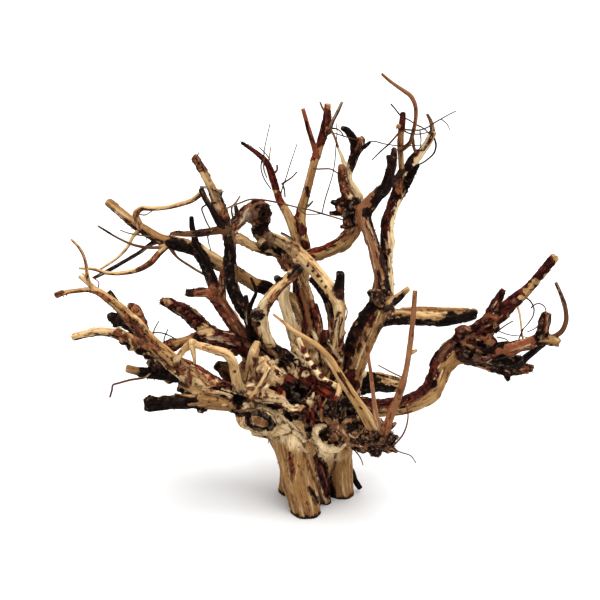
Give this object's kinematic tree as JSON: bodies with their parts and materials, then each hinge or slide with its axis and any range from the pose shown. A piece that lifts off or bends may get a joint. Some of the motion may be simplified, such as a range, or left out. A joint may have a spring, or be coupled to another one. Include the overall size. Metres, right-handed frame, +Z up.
{
  "type": "tree-shaped aquarium driftwood",
  "caption": "Tree-shaped driftwood for an aquarium: a grooved trunk on a sawn flat foot, with a crown of gnarled root limbs, forks and fine twigs.",
  "frame": {"origin": "on the sawn flat foot, near the middle of the trunk's lobes, at the surface that the wood stands on", "axes": "+Z up along the trunk; +X to the viewer's right and -Y towards the viewer of the picture, so that the long arms spread along X"},
  "size_m": [0.4615, 0.2419, 0.4242],
  "materials": {
    "wood": "bare weathered root wood, pale tan where the bark is gone, red-brown to black where bark and rot are left"
  },
  "bodies": {
    "root": {"driftwood": "wood"}
  },
  "joints": []
}
